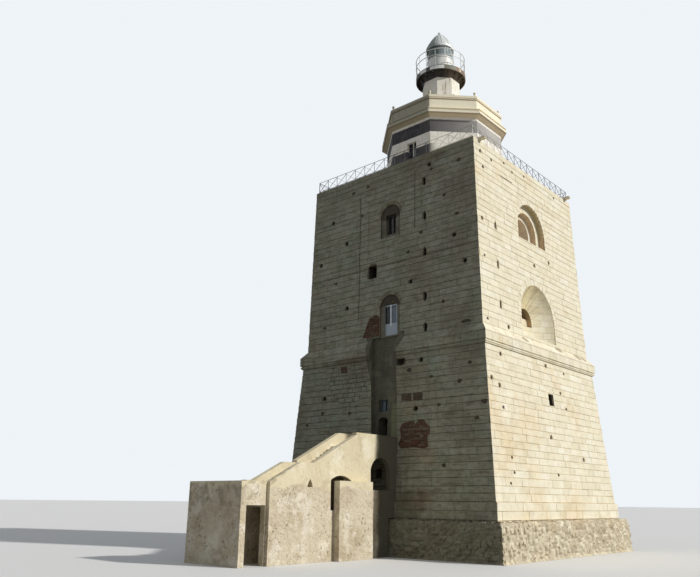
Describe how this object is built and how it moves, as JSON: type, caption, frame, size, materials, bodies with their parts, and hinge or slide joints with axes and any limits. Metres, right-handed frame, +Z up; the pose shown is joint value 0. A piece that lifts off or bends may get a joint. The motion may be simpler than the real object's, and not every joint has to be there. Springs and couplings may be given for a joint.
{
  "type": "lighthouse, 1:2 scale model",
  "caption": "Square battered stone tower with an outside stair, topped by a banded octagon, a drum, a round gallery and a glazed lantern.",
  "frame": {"origin": "on the tower's upright axis at ground level, on the flat underside", "axes": "+Z up, the front with the stair faces -Y, the niche side faces +X"},
  "size_m": [9, 14.633, 21.002],
  "materials": {
    "rubble": "matt",
    "ashlar": "matt",
    "course_stone": "matt",
    "banded_render": "matt",
    "ochre_render": "matt",
    "white_render": "matt",
    "stair_plaster": "matt",
    "stair_stone": "matt",
    "infill_render": "matt",
    "deck_stone": "matt",
    "door_timber": "painted",
    "frame_timber": "painted",
    "glass": "gloss",
    "lantern_glass": "gloss",
    "dark_iron": "matt",
    "rail_iron": "matt",
    "white_iron": "satin",
    "dome_metal": "satin"
  },
  "bodies": {
    "root": {"footing": "rubble", "plinth": "ashlar", "lower_wall_front": "ashlar", "lower_wall_entry": "ashlar", "lower_walls_side": "ashlar", "lower_wall_back": "ashlar", "string_course_front": "course_stone", "string_course_sides": "course_stone", "upper_wall_front": "ashlar", "upper_wall_bay": "ashlar", "upper_walls_apse": "ashlar", "upper_walls_arch": "ashlar", "upper_wall_back": "ashlar", "bay_infill": "infill_render", "balcony_door": "door_timber", "window_frames": "frame_timber", "window_panes": "glass", "floors": "deck_stone", "terrace_deck": "deck_stone", "terrace_railing_front": "rail_iron", "terrace_railing_sides": "rail_iron", "rain_spouts": "course_stone", "octagon_walls_diagonal": "banded_render", "octagon_walls_square": "banded_render", "octagon_lintel": "banded_render", "octagon_roof": "deck_stone", "octagon_cornice": "ochre_render", "parapet_diagonal": "ochre_render", "parapet_square": "ochre_render", "parapet_pinnacles": "ochre_render", "drum_base": "white_render", "drum_wall": "white_render", "gallery_corbel": "dark_iron", "gallery_deck": "dark_iron", "gallery_railing": "white_iron", "lantern_wall": "white_iron", "lantern_frame": "white_iron", "lantern_glazing": "lantern_glass", "lantern_dome": "dome_metal", "dome_vent": "dome_metal", "stair_wall_east": "stair_plaster", "stair_wall_west": "stair_plaster", "stair_landings": "stair_stone", "stair_steps_odd": "stair_stone", "stair_steps_even": "stair_stone", "stair_block": "stair_plaster", "stair_end_wall": "stair_plaster"}
  },
  "joints": []
}
